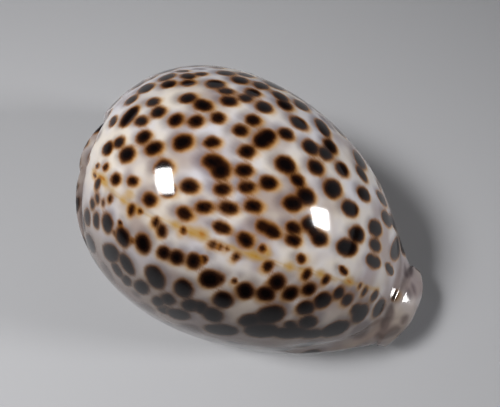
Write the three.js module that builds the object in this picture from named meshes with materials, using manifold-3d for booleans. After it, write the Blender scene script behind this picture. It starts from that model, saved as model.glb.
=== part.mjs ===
// Tiger cowrie shell: one glossy egg-shaped shell, hollow, open underneath along a toothed slit.
// Millimetres. +X points to the front (siphon) end, +Y to the columella side, -Y to the outer lip
// side and +Z up. The origin is under the middle of the shell, on the surface that it rests on.

import * as THREE from 'three';
import Module from 'manifold-3d';

// Whole shell
const LENGTH = 119;
const HALF_LENGTH = LENGTH / 2;
const SIDE_SHIFT = 1.31;         // brings the middle of the body's width over the origin
const BASE_TRIM = 0.6;           // worn off the lowest part of the base: the flat spot it rests on

// Egg-shaped body, measured from its centre line
const BODY_BACK = -57.3;
const BODY_FRONT = 54.2;
const COLUMELLA_WIDTH = 40.9;    // half width towards +Y
const LIP_WIDTH = 37.8;          // half width towards -Y
const DOME_HEIGHT = 40.6;
const BASE_DEPTH = 26.6;
const WIDTH_POWER = 0.511;
const DOME_POWER = 0.546;
const BASE_POWER = 0.42;
const WIDTH_TAPER = 0.146;       // the egg is blunt at the back and slimmer at the front
const DOME_TAPER = 0.237;
const DOME_ROUNDNESS = 2.05;     // exponent of the section's outline, where 2 is an ellipse
const BASE_ROUNDNESS = 3.1;      // the base is flatter than an ellipse
const BASE_START = 0.35;         // where the dome's roundness begins to give way to the base's
const BASE_SPREAD = 0.7;

// Centre line: its height and its side at the back end, the middle and the front end
const HEIGHT_LINE = { back: 15.7, middle: 26.3, front: 9, power: 2.2 };
const SIDE_LINE = { back: 1.6, middle: -3, front: -0.3, power: 2 };

// Spouts, or canals, at the two ends; a bowed rim draws back at both its sides
const BACK_SPOUT = { width: 11.8, height: 9.4, bore: 4.7, slant: 1, slantSide: -1, bow: 0 };
const FRONT_SPOUT = { width: 13.5, height: 8.3, bore: 4.5, slant: 0, slantSide: 1, bow: 2.1 };
const BOW_POWER = 8;
// A callus fills the outer lip's margin behind the front spout
const CALLUS = { height: 2.2, angle: -1.88, spread: 0.56, place: 0.82, reach: 0.14 };
// The dome overhangs a flange round the back end: it is drawn in above the flange
const BACK_STEP = { depth: 3.9, start: 0.72, turn: 0.15, farStart: 0.84, run: 0.1 };
const STEP_FOOT = 0.56;          // where the flange's edge starts to climb towards the back end
const STEP_RISE = 0.2;
const STEP_FAR_SIDE = { start: -0.04, spread: 0.2 };
const FRONT_DRAW = { depth: 2.05, start: 0.45, run: 0.35, level: 0.5 };
// A fold runs along the outer lip's margin, with a groove along its upper side
const FOLD = { height: 0.8, groove: 0.8, angle: -1.6, turn: 5.5, power: 1.75, start: 0.62 };
const FOLD_EDGE = 0.12;
const FOLD_FADE = 0.4;
const FOLD_ENDS = { start: 0.42, run: 0.15, close: 0.15 };

const SPOUT_START = 0.3;         // shares of the half length
const SPOUT_FULL = 0.9;
const CREASE_START = 0.1;        // share of a half turn's cosine where the crease begins
const CREASE_SPREAD = 0.7;
const CREASED_BLEND = 5;         // over the top a crease parts each spout from the dome
const SOFT_BLEND = 2.3;          // at the sides and the base they flow together
const RIM_REACH = 0.14;
const RIM_ROUNDING = 2.2;
const RIM_FACE = 0.2;            // share of the wall that stays flat at the rim
const RIM_INNER_SHARE = 0.3;

// Wall
const DOME_WALL = 2.4;
const COLUMELLA_WALL = 3;
const LIP_WALL = 3.8;
const BASE_WALL = 6.2;
const END_WALL = 4.2;

// Slit, or aperture, and its two rounded lips
const SLIT_OFFSET = -2;          // the middle of the slit lies towards the outer lip
const SLIT_GAP = 3.4;            // half width in the middle, bare of teeth
const SLIT_GAIN = 1;             // the slit widens in front of the middle
const SLIT_GAIN_PLACE = 0.5;
const SLIT_GAIN_SPREAD = 0.35;
const LIP_RISE = 3.6;            // how high the rounding climbs into the slit
const LIP_RUN = 6.5;              // how far it reaches over the base
const LIP_RUN_SHARE = 0.45;
const LIP_RISE_SHARE = 0.4;
const INNER_ROUNDING = 1.6;

// Teeth: ridges across both lips, flush with the base at their outer end
const LIP_TEETH = { count: 24, side: -1 };
const COLUMELLA_TEETH = { count: 22, side: 1 };
const TEETH_BACK = -0.84;
const TEETH_FRONT = 0.8;
const TOOTH_REACH = 1.2;         // into the slit
const TOOTH_SINK = 0.9;          // into the lip
const TOOTH_FOOT = 2.6;
const TOOTH_CREST = 1.1;
const TOOTH_START = 0.12;
const TOOTH_SQUARENESS = 0.6;
const TOOTH_TAIL = 3;

// Fineness of the facets
const STATIONS = 32;
const OUTER_STEPS = 26;
const INNER_STEPS = 14;
const LIP_STEPS = 4;
const INNER_LIP_STEPS = 2;
const TOOTH_STEPS = 4;
const SEARCH_STEPS = 40;         // halvings that find the angle of a given y
const STEEPEST = 0.999;
const NOTHING = 1e-9;

const wasm = await Module();
wasm.setup();

const clamp = THREE.MathUtils.clamp;
const bell = (value, place, spread) => Math.exp(-(((value - place) / spread) ** 2));
const wrap = (angle) => Math.atan2(Math.sin(angle), Math.cos(angle));
const smooth = (value) => THREE.MathUtils.smoothstep(value, 0, 1);

// The centre line's height or side at a place t, from -1 at the back end to 1 at the front end
function onLine(line, t) {
  const end = t < 0 ? line.back : line.front;
  return line.middle + (end - line.middle) * Math.abs(t) ** line.power;
}

// How far the dome is drawn in above the back flange and at the front, as a share of half a length
function drawnIn(t, angle) {
  const across = Math.sin(angle);
  const down = Math.cos(angle);
  const far = smooth((across - STEP_FAR_SIDE.start) / STEP_FAR_SIDE.spread);
  const near = BACK_STEP.start - BACK_STEP.turn * across ** 2;
  const start = THREE.MathUtils.lerp(near, BACK_STEP.farStart, far);
  const along = smooth((-t - start) / BACK_STEP.run);
  const raised = smooth((STEP_FOOT + t - down) / STEP_RISE);
  const front = smooth((t - FRONT_DRAW.start) / FRONT_DRAW.run) * smooth(FRONT_DRAW.level - down);
  return (BACK_STEP.depth * along * raised - FRONT_DRAW.depth * front) / HALF_LENGTH;
}

// Height of the fold along the outer lip's margin
function foldHeight(t, angle) {
  const past = Math.max(t - FOLD.start, 0);
  const below = wrap(angle) - FOLD.angle + FOLD.turn * past ** FOLD.power;
  const fade = Math.exp(-((Math.max(below - FOLD_EDGE, 0) / FOLD_FADE) ** 2));
  const ridge = FOLD.height * smooth(below / FOLD_EDGE) * fade;
  const groove = FOLD.groove * bell(below, -FOLD_EDGE, FOLD_EDGE);
  const ends = smooth((t - FOLD_ENDS.start) / FOLD_ENDS.run) * smooth((1 - t) / FOLD_ENDS.close);
  return (ridge - groove) * ends;
}

// Radius of a section of the egg at an angle, where 0 is straight down and a quarter turn is +Y
function bodyRadius(t, angle, wall) {
  const middle = (BODY_BACK + BODY_FRONT) / 2;
  const half = (BODY_FRONT - BODY_BACK) / 2 - wall.end;
  const behind = t - drawnIn(t, angle);
  const along = clamp((behind * HALF_LENGTH - middle) / half, -1, 1);
  const bulge = 1 - along ** 2;
  if (bulge < NOTHING) {
    return 0;
  }
  const across = Math.sin(angle);
  const down = Math.cos(angle);
  const fullWidth = across > 0 ? COLUMELLA_WIDTH - wall.columella : LIP_WIDTH - wall.lip;
  const width = fullWidth * bulge ** WIDTH_POWER * Math.exp(-WIDTH_TAPER * along);
  const dome = (DOME_HEIGHT - wall.dome) * bulge ** DOME_POWER * Math.exp(-DOME_TAPER * along);
  const base = (BASE_DEPTH - wall.base) * bulge ** BASE_POWER;
  const depth = down > 0 ? base : dome;
  const domed = smooth((BASE_START - down) / BASE_SPREAD);
  const power = THREE.MathUtils.lerp(BASE_ROUNDNESS, DOME_ROUNDNESS, domed);
  return (Math.abs(across / width) ** power + Math.abs(down / depth) ** power) ** (-1 / power);
}

function blend(first, second, power) {
  return (first ** power + second ** power) ** (1 / power);
}

const SOLID = { end: 0, columella: 0, lip: 0, dome: 0, base: 0 };
const HOLLOW = {
  end: END_WALL, columella: COLUMELLA_WALL, lip: LIP_WALL, dome: DOME_WALL, base: BASE_WALL,
};

function skinRadius(t, angle) {
  const spout = t < 0 ? BACK_SPOUT : FRONT_SPOUT;
  const grown = clamp((Math.abs(t) - SPOUT_START) / (SPOUT_FULL - SPOUT_START), 0, 1) ** 2;
  const tube = grown / Math.hypot(Math.sin(angle) / spout.width, Math.cos(angle) / spout.height);
  const upper = smooth((-Math.cos(angle) - CREASE_START) / CREASE_SPREAD);
  const power = THREE.MathUtils.lerp(SOFT_BLEND, CREASED_BLEND, upper);
  const along = bell(t, CALLUS.place, CALLUS.reach);
  const around = bell(wrap(angle), CALLUS.angle, CALLUS.spread);
  const joined = blend(bodyRadius(t, angle, SOLID), tube, power);
  return joined + CALLUS.height * along * around + foldHeight(t, angle);
}

function hollowRadius(t, angle) {
  const spout = t < 0 ? BACK_SPOUT : FRONT_SPOUT;
  return blend(bodyRadius(t, angle, HOLLOW), spout.bore, CREASED_BLEND);
}

// Both radii, with the rim at each end rounded off
function radii(t, angle) {
  const skin = skinRadius(t, angle);
  const hollow = hollowRadius(t, angle);
  const near = clamp(1 - (1 - Math.abs(t)) * HALF_LENGTH / RIM_ROUNDING, 0, 1);
  const rounding = (1 - RIM_FACE) * (skin - hollow) * (1 - Math.sqrt(1 - near ** 2));
  return {
    skin: skin - rounding * (1 - RIM_INNER_SHARE),
    hollow: hollow + rounding * RIM_INNER_SHARE,
  };
}

function slit(t) {
  const middle = onLine(SIDE_LINE, t) + SLIT_OFFSET * (1 - t * t);
  return { middle, gap: SLIT_GAP + SLIT_GAIN * bell(t, SLIT_GAIN_PLACE, SLIT_GAIN_SPREAD) };
}

// A point of the skin or the hollow, as [y, z]
function sectionPoint(t, angle, face) {
  const radius = radii(t, angle)[face];
  const y = onLine(SIDE_LINE, t) + radius * Math.sin(angle);
  const z = onLine(HEIGHT_LINE, t) - radius * Math.cos(angle) - BASE_TRIM;
  return [y, Math.max(z, 0)];
}

// The angle at which the lower half of a section passes a given y
function angleAt(t, y, face) {
  let angle = 0;
  for (let step = 0; step < SEARCH_STEPS; step += 1) {
    const sine = clamp((y - onLine(SIDE_LINE, t)) / radii(t, angle)[face], -STEEPEST, STEEPEST);
    angle = (angle + Math.asin(sine)) / 2;
  }
  return angle;
}

// One lip in section: side is 1 for the columella lip and -1 for the outer lip
function lip(t, side) {
  const { middle, gap } = slit(t);
  const room = Math.abs(sectionPoint(t, side * Math.PI / 2, 'skin')[0] - middle) - gap;
  const run = Math.min(LIP_RUN, LIP_RUN_SHARE * room);
  const edge = middle + side * gap;
  const outerAngle = angleAt(t, edge + side * run, 'skin');
  const floorAngle = angleAt(t, edge + side * INNER_ROUNDING / 2, 'hollow');
  const base = (y) => sectionPoint(t, angleAt(t, y, 'skin'), 'skin')[1];
  const floor = sectionPoint(t, floorAngle, 'hollow');
  const thickness = floor[1] - base(edge);
  const rise = Math.min(LIP_RISE, LIP_RISE_SHARE * thickness);
  return { side, edge, run, rise, base, outerAngle, floorAngle, floor };
}

// A point of a lip's rounding, from 0 at the base to a quarter turn on the wall of the slit
function lipPoint(shape, turn) {
  const y = shape.edge + shape.side * shape.run * (1 - Math.sin(turn));
  return [y, shape.base(y) + shape.rise * (1 - Math.cos(turn))];
}

function innerLipPoint(shape, turn) {
  const [floorY, floorZ] = shape.floor;
  const y = THREE.MathUtils.lerp(floorY, shape.edge, Math.sin(turn));
  return [y, floorZ - INNER_ROUNDING / 2 * (1 - Math.cos(turn))];
}

// The rims slant: each end draws back towards one side
function place(t, [y, z]) {
  const spout = t < 0 ? BACK_SPOUT : FRONT_SPOUT;
  const angle = Math.atan2(y - onLine(SIDE_LINE, t), onLine(HEIGHT_LINE, t) - z);
  const near = smooth((Math.abs(t) - 1 + RIM_REACH) / RIM_REACH);
  const slanted = spout.slant * (1 - spout.slantSide * Math.sin(angle)) / 2;
  const back = near * (slanted + spout.bow * Math.abs(Math.sin(angle)) ** BOW_POWER);
  return [t * HALF_LENGTH - Math.sign(t) * back, y + SIDE_SHIFT, z];
}

// A face's points from the columella side over the dome to the outer lip side
function arc(t, start, end, steps, face) {
  return Array.from({ length: steps + 1 }, (_, step) => {
    const angle = THREE.MathUtils.lerp(start, 2 * Math.PI + end, step / steps);
    return sectionPoint(t, angle, face);
  });
}

// The skin's and the hollow's points at a place t, both from the columella lip over to the outer lip
function section(t) {
  const columella = lip(t, 1);
  const outer = lip(t, -1);
  const skin = [];
  const hollow = [];
  for (let step = 0; step < LIP_STEPS; step += 1) {
    skin.push(lipPoint(columella, (1 - step / LIP_STEPS) * Math.PI / 2));
  }
  skin.push(...arc(t, columella.outerAngle, outer.outerAngle, OUTER_STEPS, 'skin'));
  for (let step = 1; step <= LIP_STEPS; step += 1) {
    skin.push(lipPoint(outer, step / LIP_STEPS * Math.PI / 2));
  }
  for (let step = 0; step < INNER_LIP_STEPS; step += 1) {
    hollow.push(innerLipPoint(columella, (1 - step / INNER_LIP_STEPS) * Math.PI / 2));
  }
  hollow.push(...arc(t, columella.floorAngle, outer.floorAngle, INNER_STEPS, 'hollow'));
  for (let step = 1; step <= INNER_LIP_STEPS; step += 1) {
    hollow.push(innerLipPoint(outer, step / INNER_LIP_STEPS * Math.PI / 2));
  }
  const placed = (points) => points.map((point) => place(t, point));
  return { skin: placed(skin), hollow: placed(hollow) };
}

function solid(points, triangles) {
  const vertProperties = new Float32Array(points.flat());
  const triVerts = new Uint32Array(triangles.flat());
  return new wasm.Manifold(new wasm.Mesh({ numProp: 3, vertProperties, triVerts }));
}

// Rings of points joined side by side, each ring closed on itself
function ringWalls(rings, size) {
  const triangles = [];
  for (let ring = 0; ring + 1 < rings; ring += 1) {
    for (let point = 0; point < size; point += 1) {
      const next = (point + 1) % size;
      const here = ring * size;
      const there = here + size;
      triangles.push([here + point, there + next, there + point]);
      triangles.push([here + point, here + next, there + next]);
    }
  }
  return triangles;
}

// A strip between the skin's edge and the hollow's edge, where an end of the shell is cut off
function rimFace(start, skinCount, hollowCount, flipped) {
  const last = start + skinCount + hollowCount - 1;
  const triangles = [];
  let skin = 0;
  let hollow = 0;
  while (skin + 1 < skinCount || hollow + 1 < hollowCount) {
    const onSkin = (skin + 1) / skinCount < (hollow + 1) / hollowCount;
    const a = start + skin;
    const b = last - hollow;
    const c = onSkin ? a + 1 : b - 1;
    triangles.push(flipped ? [a, b, c] : [a, c, b]);
    if (onSkin) {
      skin += 1;
    } else {
      hollow += 1;
    }
  }
  return triangles;
}

function body() {
  const points = [];
  let skinCount = 0;
  let hollowCount = 0;
  for (let station = 0; station < STATIONS; station += 1) {
    const t = -Math.cos(Math.PI * station / (STATIONS - 1));
    const { skin, hollow } = section(t);
    skinCount = skin.length;
    hollowCount = hollow.length;
    points.push(...skin, ...hollow.reverse());
  }
  const size = skinCount + hollowCount;
  const triangles = [
    ...ringWalls(STATIONS, size),
    ...rimFace(0, skinCount, hollowCount, true),
    ...rimFace((STATIONS - 1) * size, skinCount, hollowCount, false),
  ];
  return solid(points, triangles);
}

// One tooth: a ridge over the lip's rounding that sinks into the wall of the slit
function tooth(t, side) {
  const shape = lip(t, side);
  const points = [];
  for (let step = 0; step <= TOOTH_STEPS + 1; step += 1) {
    const tail = step > TOOTH_STEPS;
    const turn = Math.min(step / TOOTH_STEPS, 1) * Math.PI / 2;
    const foot = lipPoint(shape, turn);
    const outward = (shape.run + TOOTH_REACH) * (1 - Math.sin(turn) ** TOOTH_SQUARENESS);
    const crestY = shape.edge + side * (outward - TOOTH_REACH);
    const climb = shape.rise * (1 - Math.cos(turn) ** TOOTH_SQUARENESS);
    const crest = [crestY, shape.base(crestY) + TOOTH_START + climb];
    foot[0] += side * TOOTH_SINK * Math.sin(turn);
    foot[1] += TOOTH_SINK * Math.cos(turn);
    if (tail) {
      foot[1] += TOOTH_TAIL;
      crest[0] = shape.edge + side * TOOTH_START;
      crest[1] += TOOTH_TAIL;
    }
    if (step === 0) {
      crest[1] += TOOTH_START;
    }
    const centre = place(t, foot);
    const top = place(t, crest);
    points.push([centre[0] - TOOTH_FOOT / 2, centre[1], centre[2]]);
    points.push([top[0] - TOOTH_CREST / 2, top[1], top[2]]);
    points.push([top[0] + TOOTH_CREST / 2, top[1], top[2]]);
    points.push([centre[0] + TOOTH_FOOT / 2, centre[1], centre[2]]);
  }
  const rings = TOOTH_STEPS + 2;
  const end = (rings - 1) * 4;
  const triangles = [
    ...ringWalls(rings, 4),
    [0, 2, 1], [0, 3, 2],
    [end, end + 1, end + 2], [end, end + 2, end + 3],
  ];
  if (side < 0) {
    triangles.forEach((corners) => corners.reverse());
  }
  return solid(points, triangles);
}

function teeth({ count, side }) {
  return Array.from({ length: count }, (_, index) => {
    return tooth(THREE.MathUtils.lerp(TEETH_BACK, TEETH_FRONT, index / (count - 1)), side);
  });
}

let joined = body();
for (const ridge of [...teeth(LIP_TEETH), ...teeth(COLUMELLA_TEETH)]) {
  joined = joined.add(ridge);
}

const result = joined.getMesh();
const geometry = new THREE.BufferGeometry();
geometry.setAttribute('position', new THREE.BufferAttribute(result.vertProperties, 3));
geometry.setIndex(new THREE.BufferAttribute(result.triVerts, 1));
geometry.computeVertexNormals();

// Glossy porcelain: cream ground under dark brown spots, given here as its mean colour
const porcelain = new THREE.MeshStandardMaterial({ color: '#b3a299', roughness: 0.12, metalness: 0 });
const shell = new THREE.Mesh(geometry, porcelain);
shell.name = 'shell';

const group = new THREE.Group();
group.add(shell);

export default group;
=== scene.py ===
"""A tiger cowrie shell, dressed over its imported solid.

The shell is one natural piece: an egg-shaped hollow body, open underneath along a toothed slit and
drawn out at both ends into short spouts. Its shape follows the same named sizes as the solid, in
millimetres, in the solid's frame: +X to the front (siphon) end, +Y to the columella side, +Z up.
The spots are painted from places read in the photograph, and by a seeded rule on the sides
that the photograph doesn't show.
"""

from __future__ import annotations

import logging
import math
from dataclasses import dataclass, field
from enum import Enum
from typing import Any

import bpy
import numpy as np
from mathutils import Matrix, Vector
from mathutils.bvhtree import BVHTree

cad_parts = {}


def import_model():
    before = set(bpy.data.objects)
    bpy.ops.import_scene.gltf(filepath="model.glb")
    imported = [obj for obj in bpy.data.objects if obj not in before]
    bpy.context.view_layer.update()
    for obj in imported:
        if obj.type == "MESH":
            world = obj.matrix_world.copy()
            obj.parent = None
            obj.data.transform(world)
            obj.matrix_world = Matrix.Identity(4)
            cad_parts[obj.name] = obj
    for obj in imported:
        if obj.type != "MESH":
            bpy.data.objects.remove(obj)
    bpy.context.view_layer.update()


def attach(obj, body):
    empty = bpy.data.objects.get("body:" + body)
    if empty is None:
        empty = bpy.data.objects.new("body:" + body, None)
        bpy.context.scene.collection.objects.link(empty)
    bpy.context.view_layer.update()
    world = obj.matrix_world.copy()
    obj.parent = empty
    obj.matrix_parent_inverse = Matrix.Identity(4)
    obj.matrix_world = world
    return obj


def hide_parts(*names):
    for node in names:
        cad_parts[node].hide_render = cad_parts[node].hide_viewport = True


LOG = logging.getLogger("cowrie")
MM = 0.001


class Face(Enum):
    """The two faces of the shell's wall."""

    SKIN = "skin"
    HOLLOW = "hollow"


class Ink(Enum):
    """How dark a spot is: full ink, a brown one, an orange one, or a faint one under the glaze."""

    DARK = "dark"
    BROWN = "brown"
    ORANGE = "orange"
    FAINT = "faint"


def smooth(value: np.ndarray) -> np.ndarray:
    """Returns the soft step of a value between 0 and 1."""
    held = np.clip(value, 0.0, 1.0)
    return held * held * (3.0 - 2.0 * held)


def bell(value: np.ndarray, place: float, spread: float) -> np.ndarray:
    """Returns a bell curve of a value around a place."""
    return np.exp(-(((value - place) / spread) ** 2))


def mix(first: Any, second: Any, share: Any) -> Any:
    """Returns the blend of two values at a share."""
    return first + (second - first) * share


def linear(colour: str) -> tuple[float, float, float, float]:
    """Turns an sRGB hex colour into the linear values that a shader takes.

    Args:
        colour: The colour, as in "#f2e8dc".

    Returns:
        Linear red, green and blue, and an alpha of one.
    """
    parts = [int(colour[place:place + 2], 16) / 255.0 for place in (1, 3, 5)]
    bright = [part / 12.92 if part <= 0.04045 else ((part + 0.055) / 1.055) ** 2.4 for part in parts]
    return (bright[0], bright[1], bright[2], 1.0)


@dataclass(frozen=True)
class Viewpoint:
    """The photograph's viewpoint, in millimetres, degrees and pixels of a 500 x 407 picture."""

    target: tuple[float, float, float] = (-5.31, 13.25, 0.0)
    distance: float = 207.6
    azimuth: float = 26.98
    elevation: float = 68.61
    roll: float = 0.61
    focal: float = 578.2
    width: float = 500.0
    height: float = 407.0
    sensor: float = 36.0

    def axes(self) -> tuple[np.ndarray, np.ndarray, np.ndarray]:
        """Returns the picture's right and up directions, and the direction back to the camera."""
        turn, lift, roll = (math.radians(a) for a in (self.azimuth, self.elevation, self.roll))
        back = np.array([
            math.sin(turn) * math.cos(lift),
            -math.cos(turn) * math.cos(lift),
            math.sin(lift),
        ])
        right = np.array([math.cos(turn), math.sin(turn), 0.0])
        up = np.cross(back, right)
        level = math.cos(roll) * right + math.sin(roll) * up
        upright = -math.sin(roll) * right + math.cos(roll) * up
        return level, upright, back

    def eye(self) -> np.ndarray:
        """Returns the camera's place."""
        return np.array(self.target) + self.distance * self.axes()[2]

    def project(self, points: np.ndarray) -> np.ndarray:
        """Finds where points fall in the photograph.

        Args:
            points: Points of the shell, one on each row.

        Returns:
            Their pixel coordinates, one pair on each row.
        """
        right, up, back = self.axes()
        seen = points - self.eye()
        depth = -seen @ back
        across = self.width / 2 + self.focal * (seen @ right) / depth
        down = self.height / 2 - self.focal * (seen @ up) / depth
        return np.stack([across, down], axis=-1)

    def ray(self, across: float, down: float) -> np.ndarray:
        """Returns the direction from the camera through a pixel."""
        right, up, back = self.axes()
        way = right * (across - self.width / 2) - up * (down - self.height / 2) - back * self.focal
        return way / np.linalg.norm(way)

    def make_camera(self) -> bpy.types.Object:
        """Builds the camera and makes it the scene's own."""
        right, up, back = self.axes()
        data = bpy.data.cameras.new("photo_camera")
        data.sensor_width = self.sensor
        data.lens = self.focal / self.width * self.sensor
        data.clip_start = 0.01
        data.clip_end = 20.0
        camera = bpy.data.objects.new("photo_camera", data)
        bpy.context.scene.collection.objects.link(camera)
        turned = Matrix([right, up, back]).transposed().to_4x4()
        camera.matrix_world = Matrix.Translation(self.eye() * MM) @ turned
        bpy.context.scene.camera = camera
        return camera


@dataclass(frozen=True)
class Line:
    """A curved centre line's height or side at the back end, the middle and the front end."""

    back: float
    middle: float
    front: float
    power: float

    def at(self, place: np.ndarray) -> np.ndarray:
        """Returns the line's value at places from -1 at the back end to 1 at the front end."""
        end = np.where(place < 0, self.back, self.front)
        return self.middle + (end - self.middle) * np.abs(place) ** self.power


@dataclass(frozen=True)
class Spout:
    """A canal at one end: half sizes, the bore's radius and how its rim slants."""

    width: float
    height: float
    bore: float
    slant: float
    slant_side: int
    bow: float


@dataclass(frozen=True)
class Wall:
    """How thick the shell is at its ends, both sides, the dome and the base."""

    end: float = 0.0
    columella: float = 0.0
    lip: float = 0.0
    dome: float = 0.0
    base: float = 0.0


@dataclass(frozen=True)
class Lip:
    """Both lips' sections at every station: arrays, one value for each station."""

    side: int
    edge: np.ndarray
    run: np.ndarray
    rise: np.ndarray
    outer_angle: np.ndarray
    floor_angle: np.ndarray
    floor: np.ndarray


@dataclass
class ShellForm:
    """The shell's shape: sizes in millimetres, as in the solid, and the sections they give."""

    length: float = 119.0
    side_shift: float = 1.31
    base_trim: float = 0.6
    body_back: float = -57.3
    body_front: float = 54.2
    columella_width: float = 40.9
    lip_width: float = 37.8
    dome_height: float = 40.6
    base_depth: float = 26.6
    width_power: float = 0.511
    dome_power: float = 0.546
    base_power: float = 0.42
    width_taper: float = 0.146
    dome_taper: float = 0.237
    dome_roundness: float = 2.05
    base_roundness: float = 3.1
    base_start: float = 0.35
    base_spread: float = 0.7
    height_line: Line = Line(back=15.7, middle=26.3, front=9.0, power=2.2)
    side_line: Line = Line(back=1.6, middle=-3.0, front=-0.3, power=2.0)
    back_spout: Spout = Spout(width=11.8, height=9.4, bore=4.7, slant=1.0, slant_side=-1, bow=0.0)
    front_spout: Spout = Spout(width=13.5, height=8.3, bore=4.5, slant=0.0, slant_side=1, bow=2.1)
    callus_height: float = 2.2
    callus_angle: float = -1.88
    callus_spread: float = 0.56
    callus_place: float = 0.82
    callus_reach: float = 0.14
    front_draw: float = 2.05
    front_draw_start: float = 0.45
    front_draw_run: float = 0.35
    front_draw_level: float = 0.5
    step_depth: float = 3.9
    step_start: float = 0.72
    step_turn: float = 0.15
    step_far_start: float = 0.84
    step_run: float = 0.1
    step_foot: float = 0.56
    step_rise: float = 0.2
    step_side_start: float = -0.04
    step_side_run: float = 0.2
    fold_height: float = 0.8
    fold_groove: float = 0.8
    fold_angle: float = -1.6
    fold_turn: float = 5.5
    fold_power: float = 1.75
    fold_start: float = 0.62
    fold_edge: float = 0.12
    fold_fade: float = 0.4
    fold_open: float = 0.42
    fold_run: float = 0.15
    fold_close: float = 0.15
    spout_start: float = 0.3
    spout_full: float = 0.9
    crease_start: float = 0.1
    crease_spread: float = 0.7
    creased_blend: float = 5.0
    soft_blend: float = 2.3
    bow_power: float = 8.0
    rim_reach: float = 0.14
    rim_rounding: float = 2.2
    rim_face: float = 0.2
    rim_inner_share: float = 0.3
    wall: Wall = Wall(end=4.2, columella=3.0, lip=3.8, dome=2.4, base=6.2)
    slit_offset: float = -2.0
    slit_gap: float = 3.4
    slit_gain: float = 1.0
    slit_gain_place: float = 0.5
    slit_gain_spread: float = 0.35
    lip_rise: float = 3.6
    lip_run: float = 6.5
    lip_run_share: float = 0.45
    lip_rise_share: float = 0.4
    inner_rounding: float = 1.6
    base_softness: float = 0.12
    base_reach: float = 4.0
    angle_passes: int = 40
    steepest_sine: float = 0.999
    end_crowding: float = 0.4
    stations: int = 270
    outer_steps: int = 232
    inner_steps: int = 50
    lip_steps: int = 22
    inner_lip_steps: int = 6

    @property
    def half_length(self) -> float:
        """Returns half of the shell's length."""
        return self.length / 2

    def spout(self, place: np.ndarray, name: str) -> np.ndarray:
        """Returns one of the two spouts' sizes at each place, by its name."""
        return np.where(place < 0, getattr(self.back_spout, name), getattr(self.front_spout, name))

    def drawn_in(self, place: np.ndarray, angle: np.ndarray) -> np.ndarray:
        """Returns how far the dome is drawn in above the back flange, as a share of half a length."""
        across = np.sin(angle)
        far = smooth((across - self.step_side_start) / self.step_side_run)
        start = mix(self.step_start - self.step_turn * across**2, self.step_far_start, far)
        along = smooth((-place - start) / self.step_run)
        raised = smooth((self.step_foot + place - np.cos(angle)) / self.step_rise)
        front = smooth((place - self.front_draw_start) / self.front_draw_run)
        upper = smooth(self.front_draw_level - np.cos(angle))
        depth = self.step_depth * along * raised - self.front_draw * front * upper
        return depth / self.half_length

    def fold(self, place: np.ndarray, angle: np.ndarray) -> np.ndarray:
        """Returns the height of the outer lip's margin fold, with a groove along its upper side."""
        past = np.maximum(place - self.fold_start, 0.0)
        turned = np.arctan2(np.sin(angle), np.cos(angle))
        below = turned - self.fold_angle + self.fold_turn * past**self.fold_power
        fade = np.exp(-((np.maximum(below - self.fold_edge, 0.0) / self.fold_fade) ** 2))
        ridge = self.fold_height * smooth(below / self.fold_edge) * fade
        groove = self.fold_groove * bell(below, -self.fold_edge, self.fold_edge)
        opened = smooth((place - self.fold_open) / self.fold_run)
        closed = smooth((1.0 - place) / self.fold_close)
        return (ridge - groove) * opened * closed

    def body_radius(self, place: np.ndarray, angle: np.ndarray, wall: Wall) -> np.ndarray:
        """Measures the egg's section.

        Args:
            place: Places along the shell, from -1 to 1.
            angle: Angles round the section, where 0 is down and a quarter turn is +Y.
            wall: How far inside the skin the face lies.

        Returns:
            The radius for each pair.
        """
        middle = (self.body_back + self.body_front) / 2
        half = (self.body_front - self.body_back) / 2 - wall.end
        behind = place - self.drawn_in(place, angle)
        along = np.clip((behind * self.half_length - middle) / half, -1.0, 1.0)
        bulge = np.maximum(1.0 - along**2, 1e-9)
        across = np.sin(angle)
        down = np.cos(angle)
        full = np.where(across > 0, self.columella_width - wall.columella, self.lip_width - wall.lip)
        width = full * bulge**self.width_power * np.exp(-self.width_taper * along)
        dome = (self.dome_height - wall.dome) * bulge**self.dome_power
        dome = dome * np.exp(-self.dome_taper * along)
        base = (self.base_depth - wall.base) * bulge**self.base_power
        depth = np.where(down > 0, base, dome)
        domed = smooth((self.base_start - down) / self.base_spread)
        power = mix(self.base_roundness, self.dome_roundness, domed)
        total = np.abs(across / width) ** power + np.abs(down / depth) ** power
        return np.where(bulge <= 1e-9, 0.0, total ** (-1.0 / power))

    @staticmethod
    def blend(first: np.ndarray, second: np.ndarray, power: Any) -> np.ndarray:
        """Returns two radii joined by a power mean: the higher the power, the sharper the crease."""
        return (first**power + second**power) ** (1.0 / power)

    def skin_radius(self, place: np.ndarray, angle: np.ndarray) -> np.ndarray:
        """Returns the skin's radius: the egg, the spouts and the callus together."""
        share = (np.abs(place) - self.spout_start) / (self.spout_full - self.spout_start)
        grown = np.clip(share, 0.0, 1.0) ** 2
        across = np.sin(angle) / self.spout(place, "width")
        down = np.cos(angle) / self.spout(place, "height")
        tube = grown / np.hypot(across, down)
        upper = smooth((-np.cos(angle) - self.crease_start) / self.crease_spread)
        power = mix(self.soft_blend, self.creased_blend, upper)
        turned = np.arctan2(np.sin(angle), np.cos(angle))
        around = bell(turned, self.callus_angle, self.callus_spread)
        callus = self.callus_height * bell(place, self.callus_place, self.callus_reach) * around
        joined = self.blend(self.body_radius(place, angle, Wall()), tube, power)
        return joined + callus + self.fold(place, angle)

    def hollow_radius(self, place: np.ndarray, angle: np.ndarray) -> np.ndarray:
        """Returns the hollow's radius: a smaller egg with a bore at each end."""
        bore = self.spout(place, "bore")
        return self.blend(self.body_radius(place, angle, self.wall), bore, self.creased_blend)

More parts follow.
